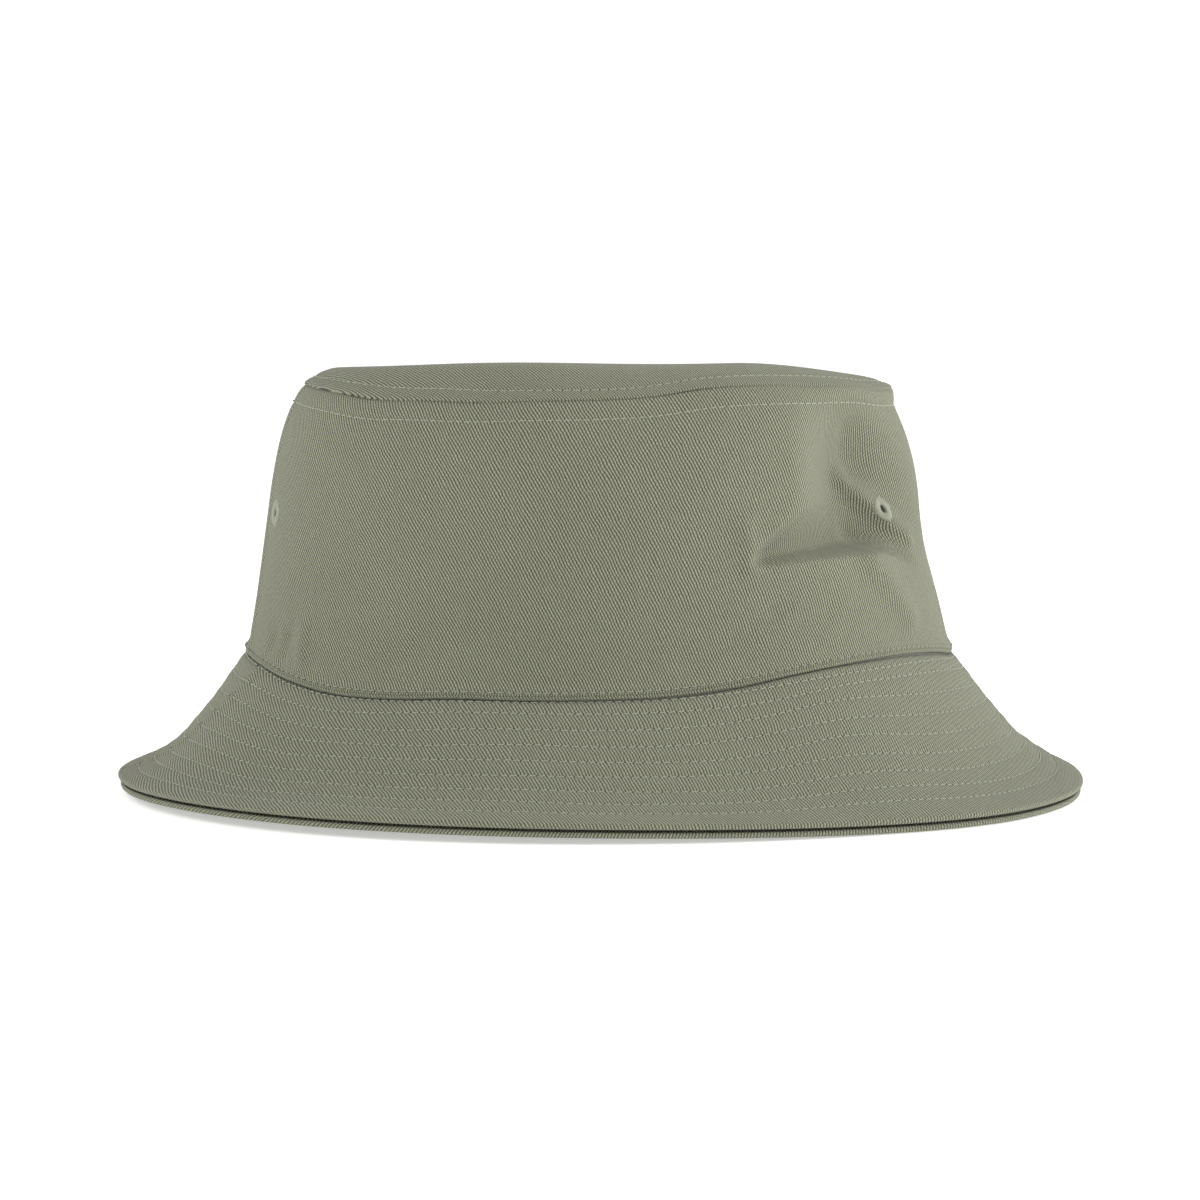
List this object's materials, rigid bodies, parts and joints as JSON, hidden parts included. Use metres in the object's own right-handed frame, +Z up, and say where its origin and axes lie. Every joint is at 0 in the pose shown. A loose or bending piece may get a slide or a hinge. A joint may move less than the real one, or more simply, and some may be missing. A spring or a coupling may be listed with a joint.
{
  "type": "bucket hat",
  "caption": "Soft cotton twill bucket hat with an oval flat crown, stitched sloping brim, sewn ventilation eyelets and an inner sweatband.",
  "frame": {"origin": "on the table under the middle of the crown, at the centre of the hat's footprint, with the hat standing on its brim", "axes": "+Z up out of the crown's tip, -Y towards the front of the hat, +X towards the wearer's left, which is the hat's longer way"},
  "size_m": [0.29, 0.244, 0.1233],
  "materials": {
    "crown_twill": "matte washed cotton twill, grey sage green",
    "brim_twill": "matte washed cotton twill, grey sage green",
    "interlining": "off-white stiff nonwoven",
    "sweatband_cloth": "matte cotton twill",
    "seam_tape": "matte cotton plain weave bias tape",
    "label_satin": "soft blank woven satin",
    "eyelet_thread": "satin-stitched thread",
    "thread": "cotton-wrapped sewing thread, slightly paler than the cloth"
  },
  "bodies": {
    "root": {"crown_panel_front": "crown_twill", "crown_panel_back": "crown_twill", "crown_tip": "crown_twill", "brim_top_front": "brim_twill", "brim_interlining_front": "interlining", "brim_under_front": "brim_twill", "brim_top_back": "brim_twill", "brim_interlining_back": "interlining", "brim_under_back": "brim_twill", "sweatband": "sweatband_cloth", "tip_seam_tape": "seam_tape", "side_seam_tape_left": "seam_tape", "side_seam_tape_right": "seam_tape", "size_label": "label_satin", "eyelet_left_front": "eyelet_thread", "eyelet_left_back": "eyelet_thread", "eyelet_right_front": "eyelet_thread", "eyelet_right_back": "eyelet_thread", "tip_topstitch_upper": "thread", "tip_topstitch_lower": "thread", "crown_edge_topstitch": "thread", "sweatband_hem_stitch": "thread", "brim_stitch_row_1": "thread", "brim_stitch_row_2": "thread", "brim_stitch_row_3": "thread", "brim_stitch_row_4": "thread", "brim_stitch_row_5": "thread", "brim_stitch_row_6": "thread", "brim_stitch_row_7": "thread", "brim_stitch_row_8": "thread", "brim_stitch_row_9": "thread"}
  },
  "joints": []
}
